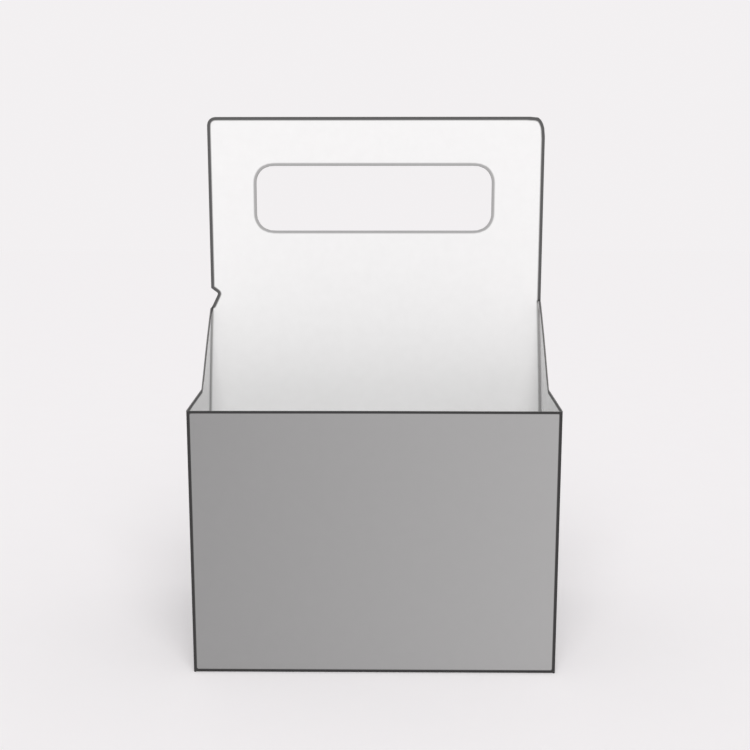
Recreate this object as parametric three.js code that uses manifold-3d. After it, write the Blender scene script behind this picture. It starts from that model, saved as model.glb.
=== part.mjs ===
// A carrier for six bottles, folded and glued from one sheet of paperboard.
// The sheet starts as one half of the handle, wraps round one row of bottles, crosses the right
// end, wraps round the other row and ends as the other half of the handle. The two halves are
// glued back to back and make the riser, a wall that stands between the rows and carries the
// hand hole. A folded strip glued inside each row parts it into three cells.
// Millimetres, +Z up. The origin is the centre of the underside, and the front faces -Y.

import * as THREE from "three";
import { mergeVertices } from "three/addons/utils/BufferGeometryUtils.js";
import Module from "manifold-3d";

const wasm = await Module();
wasm.setup();

// Board
const board = 0.6; // thickness of the paperboard
const foldRadius = 0.6; // inside radius of a fold
const foldOuter = foldRadius + board; // outside radius of a fold
const glueGap = 0.1; // between a glued strip and the wall that it is glued to
const glueSeam = 0.02; // between the two plies of the riser where they leave the fold
const seamHold = 5; // how far each ply runs into the riser before the two count as one
const secondLayer = 1.5 * board; // middle of a board that lies on another, from the lower one's face
const foldFacets = 3; // flat stretches that a fold is made of
const cornerFacets = 6; // flat stretches in a round corner of the handle or its hole
const samePoint = 1e-4; // points closer together than this are one

// Outside of the carrier
const length = 190; // along X, three bottles
const depth = 127; // along Y, two bottles
const frontHeight = 140; // top edge of the front and the back
const carrierHeight = 290; // top edge of the handle
const cellsInRow = 3;

// Ends, whose top edges climb from the front and the back to the neck of the handle
const shoulderDepth = 41.5; // from the front face to the shoulder in the top edge
const shoulderRise = 4; // of the shoulder above the front
const leftNeck = 186; // height of the neck at the folded end
const rightNeck = 190; // height of the neck at the glued end
const neckInset = 3; // how far the riser draws each end wall inwards at the neck
const leanStart = 112; // height where the end walls start to lean inwards
const leanBend = 1.3; // power of the lean's curve, from 1 for straight to 2 for a parabola
const leanSteps = 8; // straight stretches that the lean is made of

// Handle
const cornerLeft = 4.6; // radius of the top left corner
const cornerRightX = 5.4; // the top right corner is an ellipse
const cornerRightZ = 10;
const holeWidth = 129;
const holeHeight = 35;
const holeRadius = 9;
const holeBelowTop = 26; // board left above the hole
const holeShift = -0.7; // the hole sits a little left of the middle
const notchDepth = 3.7; // relief notch over the fold at the left neck
const notchHeight = 11.3;
const notchTipRise = 8.4; // of the tip above the notch's lower end
const notchTipRadius = 0.8;

// Riser below the handle
const riserLift = 1; // clear height between the bottom panel and the riser
const riserEndGap = 0.3; // between the riser and the glued end wall
const glueTabWidth = 12; // tabs at the riser's glued end, folded against the end wall
const glueTabBottom = 6;
const glueTabTop = 108;

// Bottom
const bottomFlap = 38; // flap of the back, glued down on the bottom panel
const bottomLap = 8; // height over which a wall and its bottom fold are built as one

// Crease down the middle of the glued end
const creaseWidth = 1.6;
const creaseDepth = 0.2;

// Partition strips
const partitionBottom = 42;
const partitionHeight = 58;
const partitionTab = 18; // glued to the riser on each side of the middle cell

const halfLength = length / 2;
const halfDepth = depth / 2;
const handleLeft = halfLength - board - neckInset; // in line with the folded end's inner face
const handleRight = halfLength - neckInset; // lies over the glued end's top edge

// Unit vectors that carry a drawn shape and its extrusion to the part's own axes
const X = new THREE.Vector3(1, 0, 0);
const Y = new THREE.Vector3(0, 1, 0);
const Z = new THREE.Vector3(0, 0, 1);
const alongX = new THREE.Matrix4().makeBasis(Y, Z, X);
const alongMinusY = new THREE.Matrix4().makeBasis(X, Z, Y.clone().negate());

// A closed geometry as a solid that can be joined and cut
function toSolid(geometry) {
  geometry.deleteAttribute("normal");
  geometry.deleteAttribute("uv");
  const merged = mergeVertices(geometry, samePoint);
  return new wasm.Manifold(
    new wasm.Mesh({
      numProp: 3,
      vertProperties: merged.attributes.position.array,
      triVerts: new Uint32Array(merged.index.array),
    }),
  );
}

// A solid as a geometry of flat facets
function toGeometry(solid) {
  const mesh = solid.getMesh();
  const geometry = new THREE.BufferGeometry();
  geometry.setAttribute("position", new THREE.BufferAttribute(mesh.vertProperties, 3));
  geometry.setIndex(new THREE.BufferAttribute(mesh.triVerts, 1));
  const faceted = geometry.toNonIndexed();
  faceted.computeVertexNormals();
  return faceted;
}

// A drawn shape carried upwards from the ground
function extrude(shape, depthOfCut, { steps = 1, curveSegments = foldFacets } = {}) {
  return new THREE.ExtrudeGeometry(shape, {
    depth: depthOfCut,
    steps,
    curveSegments,
    bevelEnabled: false,
  });
}

// The cross-section of board that runs along a path of straight legs, with each bend rounded to
// the fold radius. The path is the middle of the board's thickness.
function boardSection(path) {
  const points = path.map(([x, y]) => new THREE.Vector2(x, y));
  const middle = foldRadius + board / 2;
  const legs = points.slice(1).map((p, i) => p.clone().sub(points[i]).normalize());
  const leftOf = (d) => new THREE.Vector2(-d.y, d.x);
  const bends = legs.slice(1).map((next, i) => {
    const leg = legs[i];
    const turn = Math.sign(leg.cross(next));
    const angle = Math.abs(Math.atan2(leg.cross(next), leg.dot(next)));
    const centre = points[i + 1]
      .clone()
      .addScaledVector(leg, -middle * Math.tan(angle / 2))
      .addScaledVector(leftOf(leg), turn * middle);
    const from = leftOf(leg).multiplyScalar(-turn).angle();
    return { centre, turn, from, to: from + turn * angle };
  });
  const edgePoint = (i, side) => {
    const leg = legs[Math.min(i, legs.length - 1)];
    return points[i].clone().addScaledVector(leftOf(leg), (side * board) / 2);
  };

  const shape = new THREE.Shape();
  const last = points.length - 1;
  const lineTo = (point) => shape.lineTo(point.x, point.y);
  const radiusOn = (bend, side) => (side === bend.turn ? foldRadius : foldOuter);
  shape.moveTo(edgePoint(0, 1).x, edgePoint(0, 1).y);
  for (const bend of bends) {
    const { centre, from, to, turn } = bend;
    shape.absarc(centre.x, centre.y, radiusOn(bend, 1), from, to, turn < 0);
  }
  lineTo(edgePoint(last, 1));
  lineTo(edgePoint(last, -1));
  for (const bend of bends.reverse()) {
    const { centre, from, to, turn } = bend;
    shape.absarc(centre.x, centre.y, radiusOn(bend, -1), to, from, turn > 0);
  }
  lineTo(edgePoint(0, -1));
  return shape;
}

// A closed outline through points given as pairs
function shapeOf(points) {
  return new THREE.Shape(points.map(([x, y]) => new THREE.Vector2(x, y)));
}

// How far an end wall leans inwards at a height, on the middle line of the carrier
function leanAt(z, neck) {
  const share = Math.max(0, (z - leanStart) / (neck - leanStart));
  return neckInset * share ** leanBend;
}

// Heights where the lean changes from one straight stretch to the next
function leanHeights(neck) {
  const step = (neck - leanStart) / leanSteps;
  return Array.from({ length: leanSteps + 1 }, (_, i) => leanStart + step * i);
}

// The wall that runs right round both rows: a ply of the riser, the folded end, the front, the
// glued end with its crease, the back, the folded end again and the riser's other ply.
function ringSection() {
  const x = halfLength - board / 2;
  const y = halfDepth - board / 2;
  const ply = (board + glueSeam) / 2;
  const plyEnd = -halfLength + foldOuter + seamHold;
  return boardSection([
    [plyEnd, -ply],
    [-x, -ply],
    [-x, -y],
    [x, -y],
    [x, -creaseWidth / 2],
    [x - creaseDepth, 0],
    [x, creaseWidth / 2],
    [x, y],
    [-x, y],
    [-x, ply],
    [plyEnd, ply],
  ]);
}

// Draws the end walls inwards towards the neck. The lean falls off in a straight line from the
// middle of the end to its corners, so that the front and the back stay flat.
function leanInwards(geometry) {
  const position = geometry.attributes.position;
  for (let i = 0; i < position.count; i++) {
    const x = position.getX(i);
    const neck = x < 0 ? leftNeck : rightNeck;
    const towardsMiddle = 1 - Math.abs(position.getY(i)) / halfDepth;
    position.setX(i, x - Math.sign(x) * leanAt(position.getZ(i), neck) * towardsMiddle);
  }
  return geometry;
}

// Everything above an end wall's top edge, on the left (-1) or the right (+1) of the carrier
function skyOver(side) {
  const neck = side < 0 ? leftNeck : rightNeck;
  const shoulder = halfDepth - shoulderDepth;
  const clear = halfDepth + board;
  const high = carrierHeight + board;
  const profile = shapeOf([
    [-clear, frontHeight],
    [-halfDepth, frontHeight],
    [-shoulder, frontHeight + shoulderRise],
    [-foldOuter, neck],
    [foldOuter, neck],
    [shoulder, frontHeight + shoulderRise],
    [halfDepth, frontHeight],
    [clear, frontHeight],
    [clear, high],
    [-clear, high],
  ]);
  const cut = extrude(profile, halfLength + board).applyMatrix4(alongX);
  return toSolid(cut.translate(side < 0 ? -halfLength - board : 0, 0, 0));
}

// The room that the front's or the back's bottom fold takes out of the upright wall
function foldRoom(side, lift) {
  const width = length - 2 * foldOuter;
  const room = new THREE.BoxGeometry(width, 2 * foldOuter, 2 * (lift + foldOuter));
  return toSolid(room.translate(0, side * halfDepth, 0));
}

// The wall as it stands, upright at first and leaning from leanStart up, with its top edges cut
function ring() {
  const section = ringSection();
  const leaningHeight = Math.max(leftNeck, rightNeck) - leanStart;
  const upper = extrude(section, leaningHeight, { steps: leanSteps }).translate(0, 0, leanStart);
  return toSolid(extrude(section, leanStart))
    .add(toSolid(leanInwards(upper)))
    .subtract(skyOver(-1))
    .subtract(skyOver(1))
    .subtract(foldRoom(-1, 0))
    .subtract(foldRoom(1, board));
}

// The hand hole, a rectangle with round corners
function handHole() {
  const left = holeShift - holeWidth / 2;
  const right = holeShift + holeWidth / 2;
  const top = carrierHeight - holeBelowTop;
  const bottom = top - holeHeight;
  const r = Math.min(holeRadius, holeHeight / 2, holeWidth / 2);
  const hole = new THREE.Path();
  hole.absarc(left + r, bottom + r, r, -Math.PI / 2, Math.PI, true);
  hole.absarc(left + r, top - r, r, Math.PI, Math.PI / 2, true);
  hole.absarc(right - r, top - r, r, Math.PI / 2, 0, true);
  hole.absarc(right - r, bottom + r, r, 0, -Math.PI / 2, true);
  hole.closePath();
  return hole;
}

// The riser and the handle above it, as the sheet's two plies glued back to back
function riser() {
  const foot = board + riserLift;
  const foldEdge = (z) => -(halfLength - foldOuter - leanAt(z, leftNeck));
  const gluedEdge = (z) => halfLength - board - creaseDepth - riserEndGap - leanAt(z, rightNeck);
  const tipX = -handleLeft + notchDepth;
  const tipZ = leftNeck + notchTipRise;
  const outline = new THREE.Shape();
  outline.moveTo(foldEdge(foot), foot);
  outline.lineTo(gluedEdge(foot), foot);
  for (const z of leanHeights(rightNeck)) outline.lineTo(gluedEdge(z), z);
  outline.lineTo(handleRight, rightNeck);
  outline.absellipse(
    handleRight - cornerRightX,
    carrierHeight - cornerRightZ,
    cornerRightX,
    cornerRightZ,
    0,
    Math.PI / 2,
    false,
  );
  const leftCentre = [-handleLeft + cornerLeft, carrierHeight - cornerLeft];
  outline.absarc(...leftCentre, cornerLeft, Math.PI / 2, Math.PI, false);
  outline.lineTo(-handleLeft, leftNeck + notchHeight);
  outline.lineTo(tipX - notchTipRadius, tipZ + notchTipRadius);
  outline.quadraticCurveTo(tipX, tipZ, tipX - notchTipRadius / 2, tipZ - notchTipRadius);
  outline.lineTo(-handleLeft, leftNeck);
  for (const z of leanHeights(leftNeck).reverse()) outline.lineTo(foldEdge(z), z);
  outline.closePath();
  outline.holes.push(handHole());
  const plies = extrude(outline, 2 * board + glueSeam, { curveSegments: cornerFacets });
  return toSolid(plies.applyMatrix4(alongMinusY).translate(0, board + glueSeam / 2, 0));
}

// A tab of one ply at the riser's glued end, in the front row (-1) or the back row (+1)
function glueTab(side) {
  const x = halfLength - secondLayer;
  const y = (side * (board + glueSeam)) / 2;
  const section = boardSection([
    [x - foldOuter - seamHold, y],
    [x, y],
    [x, side * glueTabWidth],
  ]);
  return toSolid(extrude(section, glueTabTop - glueTabBottom).translate(0, 0, glueTabBottom));
}

// The bottom panel, folded from the front, and the flap of the back that is glued down on it
function bottom() {
  const wall = halfDepth - board / 2;
  const width = length - 2 * foldOuter;
  const panel = boardSection([
    [-wall, foldOuter + bottomLap],
    [-wall, board / 2],
    [halfDepth - foldOuter, board / 2],
  ]);
  const flap = boardSection([
    [wall, board + foldOuter + bottomLap],
    [wall, secondLayer],
    [halfDepth - bottomFlap, secondLayer],
  ]);
  const [front, back] = [panel, flap].map((section) =>
    toSolid(extrude(section, width).applyMatrix4(alongX).translate(-width / 2, 0, 0)),
  );
  return front.add(back);
}

// A strip that parts a row into cells. It is glued to the riser, crosses to the outer wall, runs
// along it behind the middle cell and crosses back.
function partition(side) {
  const cell = (length - 2 * board) / cellsInRow;
  const offset = glueGap + board / 2;
  const atRiser = side * (board + glueSeam / 2 + offset);
  const atWall = side * (halfDepth - board - offset);
  const section = boardSection([
    [-cell / 2 - partitionTab, atRiser],
    [-cell / 2, atRiser],
    [-cell / 2, atWall],
    [cell / 2, atWall],
    [cell / 2, atRiser],
    [cell / 2 + partitionTab, atRiser],
  ]);
  return toSolid(extrude(section, partitionHeight).translate(0, 0, partitionBottom));
}

// A named sub-part
function piece(name, solid, material) {
  const mesh = new THREE.Mesh(toGeometry(solid), material);
  mesh.name = name;
  return mesh;
}

// Printed grey outside and left white inside
const printedBoard = new THREE.MeshStandardMaterial({ color: 0xa0a0a0, roughness: 0.62, metalness: 0 });
const whiteBoard = new THREE.MeshStandardMaterial({ color: 0xf0f0ee, roughness: 0.8, metalness: 0 });

const sheet = ring().add(riser()).add(glueTab(-1)).add(glueTab(1)).add(bottom());

const carrier = new THREE.Group();
carrier.add(piece("carrier_sheet", sheet, printedBoard));
carrier.add(piece("front_partition", partition(-1), whiteBoard));
carrier.add(piece("back_partition", partition(1), whiteBoard));

export default carrier;
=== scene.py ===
import math

import bpy
import numpy as np
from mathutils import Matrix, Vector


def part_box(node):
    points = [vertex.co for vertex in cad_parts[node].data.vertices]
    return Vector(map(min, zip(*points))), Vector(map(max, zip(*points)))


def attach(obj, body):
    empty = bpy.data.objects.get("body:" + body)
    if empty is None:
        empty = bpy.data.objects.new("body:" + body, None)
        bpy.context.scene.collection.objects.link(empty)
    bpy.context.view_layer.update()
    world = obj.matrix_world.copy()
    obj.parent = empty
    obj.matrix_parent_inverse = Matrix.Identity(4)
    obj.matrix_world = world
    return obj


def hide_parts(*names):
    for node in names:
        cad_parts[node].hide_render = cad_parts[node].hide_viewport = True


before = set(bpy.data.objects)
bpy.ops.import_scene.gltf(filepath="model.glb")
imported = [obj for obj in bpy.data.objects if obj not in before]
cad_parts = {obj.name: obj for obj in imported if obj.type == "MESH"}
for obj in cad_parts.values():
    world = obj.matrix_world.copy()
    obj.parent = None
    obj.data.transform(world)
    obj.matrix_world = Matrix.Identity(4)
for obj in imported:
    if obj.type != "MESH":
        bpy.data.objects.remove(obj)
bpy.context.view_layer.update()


# Carrier sheet: walls
# The carrier is one die-cut sheet of solid paperboard, printed grey on the outside and left white
# on the inside. Its walls run from one ply of the riser round both rows of bottles to the other ply
# and are creased where they fold. The riser draws the ends inwards as they climb to the handle.

MM = 0.001
board = 0.6 * MM
sheet_low, sheet_high = (np.array(corner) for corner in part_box("carrier_sheet"))
length, depth, height = sheet_high - sheet_low
half_length = length / 2
half_depth = depth / 2

fold_inner = 0.6 * MM
fold_middle = fold_inner + board / 2
fold_outer = fold_inner + board
fold_steps = 6
half_ply_gap = 0.01 * MM
ply_middle = board / 2 + half_ply_gap
glue_gap = 0.03 * MM
second_layer = 1.5 * board  # middle of a board that lies on another, from the lower one's face
panel_middle = board / 2  # height of the bottom panel, and of the flap that is glued down on it
flap_middle = second_layer + glue_gap

front_height = 140 * MM
shoulder = half_depth - 41.5 * MM
shoulder_height = front_height + 4 * MM
left_neck = 186 * MM
right_neck = 190 * MM
neck_inset = 3 * MM
neck_climb = 1.8 * MM  # the top edge rises this much as it goes round the fold into the riser
lean_start = 112 * MM
lean_bend = 1.3
lean_onset = 1 * MM  # the lean comes in over this much of the panel beside each corner fold
panel_bow = 0.5 * MM  # the front and the back sag inwards by this much at their top edge
crease_half = 0.8 * MM  # the glued end is creased down its middle
crease_depth = 0.2 * MM

near_edge = np.array([0, 0.35, 0.7, 1.2, 2.0, 3.5]) * MM  # mesh lines that follow each edge
panel_step = 5 * MM
same_place = 0.01 * MM  # points of a path that lie closer than this are one

riser_foot = 1.6 * MM
tab_low = 6 * MM
tab_high = 108 * MM
foot_rows = [panel_middle + fold_middle, riser_foot, flap_middle + fold_middle, 2.4 * MM, 3.6 * MM]
panel_rows = np.linspace(14, 100, 12) * MM
level_rows = np.concatenate([near_edge[:3], foot_rows, [tab_low], panel_rows, [tab_high]])
climbing_rows = 10


def spread(span):
    """Distances from 0 to span: the near-edge lines at both ends, and steps of about one size between."""
    if span < 4 * near_edge[-1]:
        return np.linspace(0, span, 2 + int(span / near_edge[2]))
    between = np.linspace(near_edge[-1], span - near_edge[-1], 1 + round(span / panel_step))
    return np.concatenate([near_edge[:-1], between, span - near_edge[-2::-1]])


def folded_path(corners, radius=fold_middle):
    """The middle line of folded board, seen end on. Each leg runs straight to radius * tan(turn / 2)
    short of a corner, and an arc of that radius, whose centre is one radius from both legs, joins it
    to the next. Gives the points and, for each stretch between two of them, its leg's number, or a
    half for a fold."""
    corners = np.asarray(corners, float)
    along = np.diff(corners, axis=0)
    reach = np.linalg.norm(along, axis=1)
    along /= reach[:, None]
    left = np.stack([-along[:, 1], along[:, 0]], axis=1)
    turn = np.arctan2((left[:-1] * along[1:]).sum(1), (along[:-1] * along[1:]).sum(1))
    short = np.concatenate([[0], radius * np.tan(np.abs(turn) / 2), [0]])
    points = []
    label = []
    for leg in range(len(along)):
        travel = short[leg] + spread(reach[leg] - short[leg] - short[leg + 1])
        points.append(corners[leg] + travel[:, None] * along[leg])
        label += [leg] * (len(travel) - 1)
        if leg < len(turn):
            arm = -np.sign(turn[leg]) * radius * left[leg]
            centre = corners[leg + 1] - short[leg + 1] * along[leg] - arm
            angle = np.linspace(0, turn[leg], fold_steps + 1)[1:-1, None]
            points.append(centre + np.cos(angle) * arm + np.sin(angle) * np.array([-arm[1], arm[0]]))
            label += [leg + 0.5] * fold_steps
    return np.concatenate(points), np.array(label)


def travelled(path):
    """Distance along a path from its start to each of its points."""
    return np.append(0, np.cumsum(np.linalg.norm(np.diff(path, axis=0), axis=1)))


def lean(z, neck):
    """How far an end is drawn inwards at height z: the inset at the neck times a power of the share
    of the climb."""
    return neck_inset * (np.maximum(0, z - lean_start) / (neck - lean_start)) ** lean_bend


def shaped(points):
    """Folded board as it stands. The ends lean inwards by lean(z), falling off in a straight line
    from the middle of the end to its corners. The front and the back bow inwards above the level
    where the lean starts, by the bow times the square of the share climbed and the square of
    cos(pi x / length)."""
    x, y, z = np.moveaxis(points, -1, 0)
    neck = np.where(x < 0, left_neck, right_neck)
    at_end = np.clip((np.abs(x) - half_length + fold_outer) / lean_onset + 1, 0, 1)
    x = x - np.sign(x) * at_end * lean(z, neck) * (1 - np.abs(y) / half_depth)
    climbed = np.maximum(0, z - lean_start) / (front_height - lean_start)
    on_wall = np.abs(y) > half_depth - fold_outer
    y = y - np.sign(y) * on_wall * panel_bow * climbed**2 * np.cos(np.pi * x / length) ** 2
    return np.stack([x, y, z], axis=-1)


def wall_rows(top):
    """Heights of the mesh rows in walls with these top edges: the same for every wall up to the level
    where the lean starts, and from there spread up to the edge, with the near-edge lines just below
    it."""
    top = np.asarray(top, float)[..., None]
    share = np.linspace(0, 1, climbing_rows)
    climb = lean_start + share * (top - near_edge[-1] - lean_start)
    level = np.broadcast_to(level_rows, top.shape[:-1] + level_rows.shape)
    return np.concatenate([level, climb, top - near_edge[-2::-1]], axis=-1)


front_leg, back_leg = 2, 7
corner_bends = (1.5, 2.5, 6.5, 7.5)
riser_bends = (0.5, 8.5)


def wrap_block():
    """The wall that goes right round both rows, from the fold at one ply of the riser to the fold at
    the other. Its path is carried up along Z to a top edge that is level on the front and the back
    and climbs from their height over the shoulder to the neck on the ends, and once more round the
    fold at the left neck."""
    x = half_length - board / 2
    y = half_depth - board / 2
    start = x - fold_middle
    corners = [(-start, -ply_middle), (-x, -ply_middle), (-x, -y), (x, -y)]
    corners += [(x, -crease_half), (x - crease_depth, 0), (x, crease_half)]
    corners += [(x, y), (-x, y), (-x, ply_middle), (-start, ply_middle)]
    path, label = folded_path(corners)
    keep_path = np.append(True, np.linalg.norm(np.diff(path, axis=0), axis=1) > same_place)
    label = label[keep_path[1:]]
    path = path[keep_path]
    neck = np.where(path[:, 0] < 0, left_neck, right_neck)
    away = np.abs(path[:, 1])
    steep = neck + (away - fold_outer) / (shoulder - fold_outer) * (shoulder_height - neck)
    gentle = np.interp(away, [shoulder, y], [shoulder_height, front_height])
    outline = np.where(away < shoulder, np.minimum(steep, neck), gentle)
    in_fold = (path[:, 0] < 0) & (away < fold_outer)
    outline += in_fold * neck_climb * (path[:, 0] + x) / fold_middle
    z = wall_rows(outline)
    points = np.concatenate([np.broadcast_to(path[:, None], z.shape + (2,)), z[..., None]], axis=-1)
    blank = np.stack([np.broadcast_to(travelled(path)[:, None], z.shape), z], axis=-1)
    middle = (z[:-1, :-1] + z[1:, 1:]) / 2
    panel = np.select([label == front_leg, label == back_leg], [panel_middle, flap_middle], -fold_middle)
    return points, blank, middle > (panel + fold_middle)[:, None], label


# Carrier sheet: riser and glue tabs
# The sheet's first and last panels are folded in from the left end and glued back to back, white side
# out. They stand between the rows as the riser, and a tab of each ply is turned on to the inside of
# the right end and glued there. A notch cut over the left fold lets the end bend into the riser.

riser_right = half_length - board - 0.5 * MM
tab_inset = 0.7 * MM  # from the riser's cut edge back to the fold of its glue tab
tab_width = 12 * MM
handle_left = half_length - board - neck_inset  # in line with the folded end's inner face
handle_right = half_length - neck_inset  # lies over the glued end's top edge
notch_tip = (3.9 * MM, 194.4 * MM)
notch_top = 197.3 * MM
notch_round = 0.4 * MM
notch_rows = [188.8, 190, 190.1, 190.6, 191.4, 192.3, 193.1, 193.7, 194, 194.3, 194.6, 194.9, 195.3]
notch_rows += [196, 196.7, 197, 197.3, 197.6, 198.3, 199.5, 201.5, 205]  # mm, closest at the tip
micrometre = 1e-6  # points that agree to this are one


def riser_block(side):
    """One ply of the riser, below the handle, as a grid between two edges. The left edge follows the
    fold up to the neck and then the notch, whose depth is the soft minimum
    -k log(exp(-a/k) + exp(-b/k)) of a ramp a up to its tip and a ramp b back to the handle's edge.
    The right edge follows the glued end up to its neck, and then steps out over that end's top edge."""
    fold_top = left_neck + neck_climb
    z = np.concatenate([wall_rows(fold_top), np.array(notch_rows) * MM])
    fold = half_length - fold_outer
    folded_edge = -fold + lean(np.minimum(z, fold_top), left_neck) * (1 - ply_middle / half_depth)
    start = handle_left + folded_edge[-1]
    ramp_up = start + (notch_tip[0] - start) * (z - fold_top) / (notch_tip[1] - fold_top)
    ramp_down = notch_tip[0] * (notch_top - z) / (notch_top - notch_tip[1])
    notch = -notch_round * np.logaddexp(-ramp_up / notch_round, -ramp_down / notch_round)
    left = np.where(z <= fold_top, folded_edge, -handle_left + np.maximum(notch, 0))
    right = np.where(z > right_neck + micrometre, handle_right, riser_right - lean(z, right_neck))
    columns = spread(fold + riser_right)
    share = columns / (fold + riser_right)
    x = left + share[:, None] * (right - left)
    z = np.broadcast_to(z, x.shape)
    points = np.stack([x, np.full_like(x, side * ply_middle), z], axis=-1)
    blank = np.stack([side * (x + fold), z], axis=-1)
    middle = (z[:-1, :-1] + z[1:, 1:]) / 2
    past_tab_fold = columns[:-1] > fold + riser_right - tab_inset - same_place
    keep = middle > riser_foot
    keep &= ~(past_tab_fold[:, None] & (middle > tab_low) & (middle < tab_high))
    return points, blank, keep, share


def tab_block(side):
    """One ply's glue tab: the riser's path turned through a fold on to the inside of the glued end."""
    x = half_length - second_layer - glue_gap
    start = riser_right - tab_inset
    corners = [(start, side * ply_middle), (x, side * ply_middle), (x, side * tab_width)]
    path, _ = folded_path(corners, x - start)
    z = wall_rows(left_neck)
    z = z[(z > tab_low - MM) & (z < tab_high + MM)]
    points = np.stack(np.broadcast_arrays(path[:, None, 0], path[:, None, 1], z[None, :]), axis=-1)
    travel = side * (riser_right + half_length) + side * travelled(path)
    blank = np.stack(np.broadcast_arrays(travel[:, None], z[None, :]), axis=-1)
    keep = np.ones((len(path) - 1, len(z) - 1), bool)
    keep[0] = np.linalg.norm(path[1] - path[0]) > micrometre
    return points, blank, keep


# Carrier sheet: handle
# The riser's two plies go on upwards as the handle, glued face to face. Both are cut to one outline,
# with a tighter round corner on the left than on the right, and the hand hole is cut through both.

handle_foot = 205 * MM
square = (0, 0)
corner_left = (4.6 * MM, 4.6 * MM)
corner_right = (5.4 * MM, 10 * MM)
hole_low = np.array([-65.2, 229.0]) * MM
hole_high = np.array([63.8, 264.0]) * MM
hole_corner = (9 * MM, 9 * MM)
corner_points = 9  # in each half of a corner
rows_between = 5  # mesh rows between the lines near the hole and those near the handle's edge


def round_rectangle(low, high, corners, shares):
    """Points round a rectangle whose corners are quarter ellipses, anticlockwise from the bottom
    left. Each side runs from the middle of one corner to the middle of the next, and its points lie
    at the given shares of that length. corners are the two radii at bottom left, bottom right, top
    right and top left."""
    middle = [(low[0], low[1]), (high[0], low[1]), (high[0], high[1]), (low[0], high[1])]
    inwards = [(1, 1), (-1, 1), (-1, -1), (1, -1)]
    points = []
    for k in range(4):
        stretch = []
        for corner, first, last in ((k, 45, 90), ((k + 1) % 4, 0, 45)):
            angle = np.radians(180 + 90 * corner + np.linspace(first, last, corner_points))
            radii = np.array(corners[corner])
            centre = np.array(middle[corner]) + radii * inwards[corner]
            stretch.append(centre + radii * np.stack([np.cos(angle), np.sin(angle)], axis=1))
        stretch = np.concatenate(stretch)
        travel = travelled(stretch)
        place = shares[k] * travel[-1]
        side = [np.interp(place, travel, stretch[:, axis]) for axis in (0, 1)]
        points.append(np.stack(side, axis=1)[:-1])
    points = np.concatenate(points)
    return np.concatenate([points, points[:1]])


def handle_block(side, share):
    """One ply of the handle round its hand hole. A ring of straight lines runs from the hole's
    outline out to the handle's own outline, P = hole + v (edge - hole), with v spaced by the
    near-edge lines at both."""
    upright = spread(height - handle_foot) / (height - handle_foot)
    shares = [share, upright, 1 - share[::-1], 1 - upright[::-1]]
    edge_low = np.array([-handle_left, handle_foot])
    edge_high = np.array([handle_right, height])
    edge = round_rectangle(edge_low, edge_high, [square, square, corner_right, corner_left], shares)
    hole = round_rectangle(hole_low, hole_high, [hole_corner] * 4, shares)
    width = np.linalg.norm(edge - hole, axis=1)[:, None]
    out = np.broadcast_to(near_edge[:-1], (len(hole), len(near_edge) - 1))
    between = near_edge[-1] + np.linspace(0, 1, rows_between) * (width - 2 * near_edge[-1])
    v = np.concatenate([out, between, width - out[:, ::-1]], axis=1) / width
    flat = hole[:, None] + v[..., None] * (edge - hole)[:, None]
    x, z = flat[..., 0], flat[..., 1]
    points = np.stack([x, np.full_like(x, side * ply_middle), z], axis=-1)
    blank = np.stack([side * (x + half_length - fold_outer), z], axis=-1)
    return points, blank, np.ones((len(x) - 1, x.shape[1] - 1), bool)


# Carrier sheet: bottom
# The bottom panel is folded in from the front and reaches right across to the back. A flap folded in
# from the back lies on top of it and is glued down, so that the weight of the bottles presses them
# together.

bottom_flap = 38 * MM


def bottom_block(side, x, lift, reach):
    """The bottom panel, or the flap of the back: a path that runs in from the free edge and turns up
    through the bottom fold, carried along X over the columns of the wall that it is folded from."""
    y = half_depth - board / 2
    corners = [(side * (half_depth - reach), lift), (side * y, lift), (side * y, lift + fold_middle)]
    path, _ = folded_path(corners)
    path = path[np.append(True, np.linalg.norm(np.diff(path, axis=0), axis=1) > micrometre)]
    path[-1] = (side * y, lift + fold_middle)
    points = np.stack(np.broadcast_arrays(x[:, None], path[None, :, 0], path[None, :, 1]), axis=-1)
    travel = travelled(path)
    blank = np.stack(np.broadcast_arrays(x[:, None], travel[None, :] - travel[-1]), axis=-1)
    return points, blank, np.ones((len(x) - 1, len(path) - 1), bool)


# Carrier sheet: one sheet of board
# All these panels are one piece of solid board, 0.6 mm thick. The die cuts it right through, which
# leaves each edge square, with its two corners slightly crushed.

crush = 0.05 * MM  # the die rounds each cut edge by this much
sharp_angle = math.radians(40)
points_at_once = 400
tiny = 1e-18  # keeps a line or a cell of no size from being divided by


def weld(blocks):
    """One surface from grids that share edges. Points that agree to a micrometre become one, and only
    cells marked as board are kept. Gives the points, their places on the flat blank, the cells, and
    the number of the grid that each cell comes from."""
    quads = []
    start = 0
    for grid, _, keep in blocks:
        index = start + np.arange(grid.shape[0] * grid.shape[1]).reshape(grid.shape[:2])
        cells = np.stack([index[:-1, :-1], index[1:, :-1], index[1:, 1:], index[:-1, 1:]], axis=-1)
        quads.append(cells[keep])
        start += index.size
    owner = np.repeat(np.arange(len(quads)), [len(cells) for cells in quads])
    points = np.concatenate([block[0].reshape(-1, 3) for block in blocks])
    blank = np.concatenate([block[1].reshape(-1, 2) for block in blocks])
    places = np.round(points / micrometre).astype(np.int64)
    _, first, place = np.unique(places, axis=0, return_index=True, return_inverse=True)
    used, quads = np.unique(place.reshape(-1)[np.concatenate(quads)], return_inverse=True)
    return points[first[used]], blank[first[used]], quads.reshape(-1, 4), owner


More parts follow.
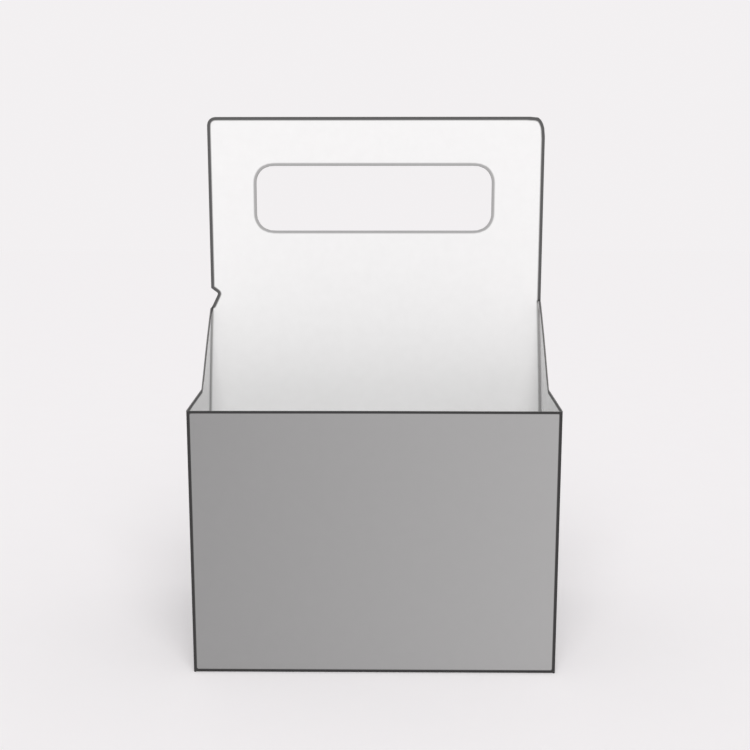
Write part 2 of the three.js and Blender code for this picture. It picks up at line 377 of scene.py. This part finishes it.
def cut_edges(quads):
    """The sides of cells that no other cell shares, each in the direction of its cell, and that
    cell's number."""
    sides = np.stack([quads, np.roll(quads, -1, axis=1)], axis=-1).reshape(-1, 2).astype(np.int64)
    count = quads.max() + 1
    there = sides[:, 0] * count + sides[:, 1]
    back = sides[:, 1] * count + sides[:, 0]
    free = np.flatnonzero(~np.isin(there, back))
    return sides[free], free // 4


def distance_to(points, lines, beyond=0.0):
    """Distance from each point to the nearest of the lines, each given by its two ends: to the foot
    of the perpendicular, with the foot kept between the ends. A line counts as further off by its
    share of beyond. Worked out for a few hundred points at a time."""
    start, end = lines[:, 0], lines[:, 1]
    along = end - start
    square_length = np.maximum((along**2).sum(1), tiny)
    nearest = []
    for some in np.array_split(points, len(points) // points_at_once + 1):
        offset = some[:, None] - start
        share = np.clip((offset * along).sum(2) / square_length, 0, 1)
        away = np.sqrt(((offset - share[..., None] * along) ** 2).sum(2))
        nearest.append((away + beyond).min(1))
    return np.concatenate(nearest)


def board_mesh(name, points, blank, lines, quads):
    """Board of full thickness round its middle surface. The skins lie half a thickness along the mean
    normal to both sides, and each cut edge is closed by a wall whose two corners are rounded by the
    crush. Face material 0 is the printed skin, 1 the inner skin and 2 the cut edge."""
    corner = points[quads]
    facing = np.cross(corner[:, 2] - corner[:, 0], corner[:, 3] - corner[:, 1])
    facing /= np.maximum(np.linalg.norm(facing, axis=1, keepdims=True), tiny)
    normal = np.zeros_like(points)
    for k in range(4):
        np.add.at(normal, quads[:, k], facing)
    normal /= np.linalg.norm(normal, axis=1, keepdims=True)

    rim, _ = cut_edges(quads)
    outwards = np.zeros_like(points)
    side = np.cross(points[rim[:, 1]] - points[rim[:, 0]], normal[rim[:, 0]])
    side /= np.linalg.norm(side, axis=1, keepdims=True)
    np.add.at(outwards, rim[:, 0], side)
    np.add.at(outwards, rim[:, 1], side)
    edge_points = np.unique(rim)
    reach = np.linalg.norm(outwards, axis=1, keepdims=True)
    least = 0.5  # where two edges meet back to back their sum is near nothing, and no corner is rounded
    outwards = np.where(reach > least, outwards / np.maximum(reach, least), 0)

    skin = board / 2 * normal
    rounded = (board / 2 - crush) * normal[edge_points]
    verts = [points + skin - crush * outwards, points - skin - crush * outwards]
    verts += [points[edge_points] + rounded, points[edge_points] - rounded]
    verts = np.concatenate(verts)
    source = np.concatenate([np.tile(np.arange(len(points)), 2), edge_points, edge_points])

    count = len(points)
    on_edge = np.zeros(count, np.int64)
    on_edge[edge_points] = 2 * count + np.arange(len(edge_points))
    rings = [rim, on_edge[rim], on_edge[rim] + len(edge_points), rim + count]
    walls = [np.stack([a[:, 0], b[:, 0], b[:, 1], a[:, 1]], axis=1) for a, b in zip(rings, rings[1:])]
    faces = np.concatenate([quads, quads[:, ::-1] + count] + walls)
    material = np.repeat([0, 1, 2], [len(quads), len(quads), 3 * len(rim)])

    mesh = bpy.data.meshes.new(name)
    mesh.vertices.add(len(verts))
    mesh.vertices.foreach_set("co", verts.astype(np.float32).ravel())
    mesh.loops.add(faces.size)
    mesh.loops.foreach_set("vertex_index", faces.astype(np.int32).ravel())
    mesh.polygons.add(len(faces))
    mesh.polygons.foreach_set("loop_start", np.arange(0, faces.size, 4, dtype=np.int32))
    mesh.polygons.foreach_set("material_index", material.astype(np.int32))
    mesh.update(calc_edges=True)
    for layer, values in (("blank", blank), ("lines", lines)):
        places = values[source[faces.ravel()]].astype(np.float32)
        mesh.uv_layers.new(name=layer).uv.foreach_set("vector", places.ravel())
    mesh.shade_smooth()
    mesh.set_sharp_from_angle(angle=sharp_angle)
    mesh.validate()
    piece = bpy.data.objects.new(name, mesh)
    bpy.context.scene.collection.objects.link(piece)
    return piece


wrap_points, wrap_blank, wrap_keep, wrap_label = wrap_block()
wrap_shaped = shaped(wrap_points)
blocks = {"wrap": (wrap_shaped, wrap_blank, wrap_keep)}
for side, row in ((-1, "front"), (1, "back")):
    riser = riser_block(side)
    plies = {"riser": riser[:3], "tab": tab_block(side), "handle": handle_block(side, riser[3])}
    for part, block in plies.items():
        turned = (part == "handle") == (side > 0)  # a grid runs the other way so that its print faces out
        blocks[f"{row} {part}"] = tuple(array[::-1] for array in block) if turned else block
wall_x = wrap_points[:, 0, 0]
front_columns = np.unique(np.flatnonzero(wrap_label == front_leg)[:, None] + [0, 1])
back_columns = np.unique(np.flatnonzero(wrap_label == back_leg)[:, None] + [0, 1])
blocks["bottom"] = bottom_block(-1, wall_x[front_columns], panel_middle, depth - fold_outer)
blocks["flap"] = bottom_block(1, wall_x[back_columns], flap_middle, bottom_flap)
sheet_points, sheet_blank, sheet_quads, sheet_owner = weld(list(blocks.values()))


# Carrier sheet: printed lines
# A border line of the print follows the cut edges and the corner folds in the dark tone. A paler line
# goes round the hand hole and along the riser's folds and joint. The glue tabs, which nobody sees,
# have none.

riser_line_less = 0.35 * MM  # the riser's lines are narrower than the one round the hole by this much
ledge = 0.2 * MM  # above the right neck, where the handle steps out over the end's top edge
near_riser = 1 * MM

rim, rim_cell = cut_edges(sheet_quads)
edges = sheet_points[rim]
edge_middle = edges.mean(axis=1)
at_riser = np.abs(edge_middle[:, 1]) < near_riser
edge_place = edge_middle[:, [0, 2]]
around_hole = (edge_place > hole_low - near_riser) & (edge_place < hole_high + near_riser)
in_hole = at_riser & around_hole.all(axis=1)
joint_top = np.where(edge_middle[:, 0] < 0, left_neck, right_neck + ledge)
at_joint = at_riser & (edge_middle[:, 2] < joint_top)


def upright_fold(fold):
    """The middle of an upright fold of the wrap, as one short line for each mesh row."""
    column = wrap_shaped[np.flatnonzero(wrap_label == fold)[fold_steps // 2]]
    return np.stack([column[:-1], column[1:]], axis=1)


corner_folds = [upright_fold(fold) for fold in corner_bends]
riser_folds = np.concatenate([upright_fold(fold) for fold in riser_bends])
fold_y = half_depth - board / 2 - fold_middle * (1 - math.cos(math.pi / 4))
fold_z = board / 2 + fold_middle * (1 - math.sin(math.pi / 4))
bottom_folds = [[(end * half_length, side * fold_y, fold_z) for end in (-1, 1)] for side in (-1, 1)]

sheet_lines = np.full((len(sheet_points), 2), length)
for number, part in enumerate(blocks):
    own = (sheet_owner[rim_cell] == number) & (not part.endswith("tab"))
    spots = np.unique(sheet_quads[sheet_owner == number])
    dark = np.concatenate([edges[own & ~in_hole & ~at_joint], bottom_folds] + corner_folds)
    hole_edge = edges[own & in_hole]
    pale = np.concatenate([hole_edge, edges[own & at_joint], riser_folds])
    beyond = np.where(np.arange(len(pale)) < len(hole_edge), 0, riser_line_less)
    away = [distance_to(sheet_points[spots], dark), distance_to(sheet_points[spots], pale, beyond)]
    sheet_lines[spots] = np.minimum(sheet_lines[spots], np.stack(away, axis=1))
sheet_lines /= MM

sheet = board_mesh("folded_sheet", sheet_points, sheet_blank, sheet_lines, sheet_quads)


# Carrier sheet: print and board
# The outside is printed with matt grey ink, with painted shade that darkens it towards the left end.
# The inside is bare bleached board, a little cloudy, as pressed fibre is, and the cut edge shows the
# greyer layers in the middle of the board.

# Painted shade: the outside's grey runs from darker at the left end to lighter at the right, as light
# falling from the right would shade it.
grey_painted_shade_left = (0.264, 0.262, 0.262, 1)
grey_painted_light_right = (0.357, 0.354, 0.354, 1)
starved_ink = (0.6, 0.6, 0.6, 1)
starved_share = 0.08
white_thin = (0.830, 0.827, 0.824, 1)
white_thick = (0.898, 0.898, 0.896, 1)
core_dark = (0.30, 0.295, 0.29, 1)
core_light = (0.42, 0.415, 0.41, 1)
line_dark = (0.032, 0.031, 0.031, 1)
line_pale = (0.22, 0.217, 0.217, 1)
ink_lines = {"Pale width": 1.2}
bare_lines = {"Dark width": 1.35, "Pale width": 1.0, "Fade": 1.0}  # ink spreads on the unprinted side
wave_height = 0.12 * MM
cloud_roughness = 0.14  # the roughness changes by this much between thin and thick clouds
board_specular = 0.32


class Nodes:
    """Adds shader nodes to one tree. A call makes a node, sets its properties and links or fills its
    inputs."""

    def __init__(self, tree):
        self.tree = tree

    def fill(self, node, inputs):
        for socket, value in inputs.items():
            if isinstance(value, bpy.types.NodeSocket):
                self.tree.links.new(value, node.inputs[socket])
            else:
                node.inputs[socket].default_value = value
        return node

    def __call__(self, kind, inputs=(), **settings):
        node = self.tree.nodes.new(kind)
        for name, value in settings.items():
            setattr(node, name, value)
        return self.fill(node, dict(inputs))

    def math(self, operation, *values):
        return self("ShaderNodeMath", dict(enumerate(values)), operation=operation).outputs[0]

    def mix(self, share, a, b):
        """Colour a where the share is 0 and b where it is 1."""
        node = self("ShaderNodeMix", data_type="RGBA")
        return self.fill(node, {0: share, 6: a, 7: b}).outputs[2]

    def fade(self, value, full, none):
        """1 up to the first value, 0 from the second, and smooth between."""
        inputs = {"Value": value, "From Min": full, "From Max": none, "To Min": 1.0, "To Max": 0.0}
        return self("ShaderNodeMapRange", inputs, interpolation_type="SMOOTHSTEP").outputs["Result"]


def group(name, inputs, outputs):
    """An empty node group with the named inputs and outputs, and its two end nodes."""
    tree = bpy.data.node_groups.new(name, "ShaderNodeTree")
    for socket, value in inputs.items():
        made = tree.interface.new_socket(socket, in_out="INPUT", socket_type="NodeSocketFloat")
        made.default_value = value
    for socket, kind in outputs.items():
        tree.interface.new_socket(socket, in_out="OUTPUT", socket_type=kind)
    add = Nodes(tree)
    return add, add("NodeGroupInput").outputs, add("NodeGroupOutput")


def board_surface_group():
    """Pressed wood fibre, from noise on the flat blank: fibres of about 0.1 by 1 mm that lie along
    the sheet, cloudy formation a few millimetres across, and a slow waviness of the whole panel.
    Cloud and Fibre are masks from 0 to 1, and Normal is the bumped surface."""
    add, given, out = group(
        "board_surface",
        {"Fibre depth": 0.006 * MM},
        {"Cloud": "NodeSocketFloat", "Fibre": "NodeSocketFloat", "Normal": "NodeSocketVector"},
    )
    blank = add("ShaderNodeUVMap", uv_map="blank").outputs["UV"]
    stretched = add("ShaderNodeMapping", {"Vector": blank, "Scale": (1.0, 5.0, 1.0)}).outputs["Vector"]
    place = add("ShaderNodeTexCoord").outputs["Object"]

    def noise(vector, scale, detail, roughness):
        inputs = {"Vector": vector, "Scale": scale, "Detail": detail, "Roughness": roughness}
        return add("ShaderNodeTexNoise", inputs).outputs["Fac"]

    fibre = noise(stretched, scale=1100.0, detail=3.0, roughness=0.6)
    cloud = noise(place, scale=160.0, detail=4.0, roughness=0.55)
    wave = noise(place, scale=18.0, detail=1.0, roughness=0.4)
    waves = add.math("MULTIPLY", wave, wave_height)
    relief = add.math("MULTIPLY_ADD", fibre, given["Fibre depth"], waves)
    bump = add("ShaderNodeBump", {"Strength": 1.0, "Distance": 1.0, "Height": relief})
    add.fill(out, {"Cloud": cloud, "Fibre": fibre, "Normal": bump.outputs[0]})
    return add.tree


def printed_line_group():
    """The lines of the print, in millimetres from the edge that they follow. A line is full up to its
    width and gone at its width and its fade together."""
    add, given, out = group(
        "printed_line",
        {"Dark width": 1.1, "Pale width": 0.9, "Fade": 0.45},
        {"Dark": "NodeSocketFloat", "Pale": "NodeSocketFloat"},
    )
    away = add("ShaderNodeSeparateXYZ", {0: add("ShaderNodeUVMap", uv_map="lines").outputs["UV"]}).outputs
    for name, distance in (("Dark", away["X"]), ("Pale", away["Y"])):
        width = given[name + " width"]
        add.fill(out, {name: add.fade(distance, width, add.math("ADD", width, given["Fade"]))})
    return add.tree


board_surface = board_surface_group()
printed_line = printed_line_group()


def board_material(name, base_colour, roughness, fibre_depth, dark, pale, sheen=0.0, line_sizes=()):
    """A skin of the board: a base colour with its cloud and fibre, the pale printed line over it and
    the dark one over both. dark and pale are a line's colour and how far it covers the board."""
    material = bpy.data.materials.new(name)
    material.use_nodes = True
    add = Nodes(material.node_tree)
    surface = add("ShaderNodeGroup", node_tree=board_surface)
    surface.inputs["Fibre depth"].default_value = fibre_depth
    line = add("ShaderNodeGroup", node_tree=printed_line)
    add.fill(line, dict(line_sizes))
    colour = base_colour(add, surface.outputs["Cloud"], surface.outputs["Fibre"])
    colour = add.mix(add.math("MULTIPLY", line.outputs["Pale"], pale[1]), colour, pale[0])
    colour = add.mix(add.math("MULTIPLY", line.outputs["Dark"], dark[1]), colour, dark[0])
    lowest = roughness - cloud_roughness / 2
    rough = add.math("MULTIPLY_ADD", surface.outputs["Cloud"], cloud_roughness, lowest)
    shader = material.node_tree.nodes["Principled BSDF"]
    add.fill(shader, {"Base Color": colour, "Roughness": rough, "Normal": surface.outputs["Normal"]})
    add.fill(shader, {"Specular IOR Level": board_specular, "Sheen Weight": sheen})
    return material


def mottle(add, cloud, fibre, cloud_share):
    """Cloud and fibre together, in the given share of cloud."""
    return add.math("MULTIPLY_ADD", cloud, cloud_share, add.math("MULTIPLY", fibre, 1 - cloud_share))


def grey_print_and_painted_shade(add, cloud, fibre):
    """The outside's grey ink, with painted shade that makes it darker at the left end than at the right,
    and with the cloud of the board showing through it and its fibres slightly starved of ink."""
    place = add("ShaderNodeSeparateXYZ", {0: add("ShaderNodeTexCoord").outputs["Object"]}).outputs["X"]
    # Painted shade: a ramp along X from the darker grey at the left end to the lighter grey at the right.
    across = add.math("MULTIPLY_ADD", place, 1 / length, 0.5)
    starved = add.math("MULTIPLY", mottle(add, cloud, fibre, cloud_share=0.5), starved_share)
    return add.mix(starved, add.mix(across, grey_painted_shade_left, grey_painted_light_right), starved_ink)


def bare_white(add, cloud, fibre):
    """The unprinted inside: bleached fibre, very slightly warm, with faint clouds of formation."""
    return add.mix(mottle(add, cloud, fibre, cloud_share=0.6), white_thin, white_thick)


def cut_core(add, cloud, fibre):
    """The cut edge, where the grey middle layers of the board show between the two white skins."""
    return add.mix(fibre, core_dark, core_light)


for finish in (
    ("grey_print_and_painted_shade", grey_print_and_painted_shade, 0.62, 0.004 * MM, (line_dark, 1.0), (line_dark, 0.45), 0.0, ink_lines),
    ("bare_white", bare_white, 0.82, 0.008 * MM, (line_dark, 0.92), (line_pale, 0.74), 0.05, bare_lines),
    ("cut_core", cut_core, 0.9, 0.02 * MM, (line_dark, 0.6), (line_pale, 0.5)),
):
    sheet.data.materials.append(board_material(*finish))
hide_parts("carrier_sheet")
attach(sheet, "root")


# Partition strips
# A strip of the same board, white on both sides, is folded to a hat and glued inside each row: its
# tabs to the riser and its middle to the outer wall, so that its two crossings part the bottles.

cells_in_row = 3
cell = (length - 2 * board) / cells_in_row
strip_gap = 0.1 * MM
strip_tab = 18 * MM
strip_white = board_material(
    "strip_white", bare_white, 0.8, 0.007 * MM, (line_pale, 0.5), (line_pale, 0.4), sheen=0.05
)
strip_core = board_material("strip_core", cut_core, 0.9, 0.02 * MM, (line_pale, 0.2), (line_pale, 0.2))


def partition_strip(name, node, side):
    """The strip's path in plan, carried up along Z from its lower to its upper edge."""
    low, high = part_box(node)
    riser_y = side * (board + strip_gap + board / 2)
    wall_y = side * (half_depth - board - strip_gap - board / 2)
    half = cell / 2
    corners = [(-half - strip_tab, riser_y), (-half, riser_y), (-half, wall_y), (half, wall_y)]
    corners += [(half, riser_y), (half + strip_tab, riser_y)]
    path, _ = folded_path(corners)
    z = low[2] + spread(high[2] - low[2])
    points = np.stack(np.broadcast_arrays(path[:, None, 0], path[:, None, 1], z[None, :]), axis=-1)
    blank = np.stack(np.broadcast_arrays(travelled(path)[:, None], z[None, :]), axis=-1)
    points, blank, quads, _ = weld([(points, blank, np.ones((len(path) - 1, len(z) - 1), bool))])
    edges = points[cut_edges(quads)[0]]
    creases = np.array([[(*corner, low[2]), (*corner, high[2])] for corner in corners[1:-1]])
    lines = np.stack([distance_to(points, edges), distance_to(points, creases)], axis=1) / MM
    strip = board_mesh(name, points, blank, lines, quads)
    for material in (strip_white, strip_white, strip_core):
        strip.data.materials.append(material)
    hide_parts(node)
    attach(strip, "root")


partition_strip("front_divider", "front_partition", -1)
partition_strip("back_divider", "back_partition", 1)


# Studio
# A plain pale floor, a large soft light over the viewer's shoulder, an even pale room, and the camera
# where the drawing was seen from: a little above the hand hole, square to the front.

floor_reach = 6.0
floor_dark = (0.934, 0.915, 0.924, 1)
floor_light = (0.944, 0.925, 0.934, 1)
room_colour = (1.0, 0.99, 0.995, 1)
backdrop_colour = (0.894, 0.873, 0.883, 1)
picture_pixels = 750
focal_pixels = 1002

floor_mesh = bpy.data.meshes.new("floor")
floor_corners = [(floor_reach * x, floor_reach * y, 0) for x, y in ((-1, -1), (1, -1), (1, 1), (-1, 1))]
floor_mesh.from_pydata(floor_corners, [], [(0, 1, 2, 3)])
floor = bpy.data.objects.new("floor", floor_mesh)
bpy.context.scene.collection.objects.link(floor)
floor_material = bpy.data.materials.new("pale_floor")
floor_material.use_nodes = True
add = Nodes(floor_material.node_tree)
place = add("ShaderNodeTexCoord").outputs["Object"]
grain = add("ShaderNodeTexNoise", {"Vector": place, "Scale": 30.0, "Detail": 2.0}).outputs["Fac"]
floor_shader = floor_material.node_tree.nodes["Principled BSDF"]
add.fill(floor_shader, {"Base Color": add.mix(grain, floor_dark, floor_light)})
add.fill(floor_shader, {"Roughness": 0.9, "Specular IOR Level": 0.0})
floor_mesh.materials.append(floor_material)

world = bpy.data.worlds.new("studio")
world.use_nodes = True
add = Nodes(world.node_tree)
room_light = add.fill(world.node_tree.nodes["Background"], {"Color": room_colour, "Strength": 0.564})
backdrop = add("ShaderNodeBackground", {"Color": backdrop_colour, "Strength": 1.0})
seen = add("ShaderNodeLightPath").outputs["Is Camera Ray"]
mixed = add("ShaderNodeMixShader", {0: seen, 1: room_light.outputs[0], 2: backdrop.outputs[0]})
add.fill(world.node_tree.nodes["World Output"], {"Surface": mixed.outputs[0]})
bpy.context.scene.world = world
bpy.context.scene.view_settings.view_transform = "Standard"

key = bpy.data.lights.new("key", "SUN")
key.energy = 1.68
key.angle = math.radians(50)
key_light = bpy.data.objects.new("key", key)
key_light.rotation_euler = (math.radians(44), 0, math.radians(3))
bpy.context.scene.collection.objects.link(key_light)

camera_data = bpy.data.cameras.new("camera")
camera_data.sensor_width = 36
camera_data.lens = camera_data.sensor_width * focal_pixels / picture_pixels
camera_data.shift_x = 0.5 / picture_pixels
camera = bpy.data.objects.new("camera", camera_data)
camera.location = (5.03 * MM, -558.49 * MM, 238.25 * MM)
camera.rotation_euler = (math.radians(90 - 9.15), 0, math.radians(0.56))
bpy.context.scene.collection.objects.link(camera)
bpy.context.scene.camera = camera
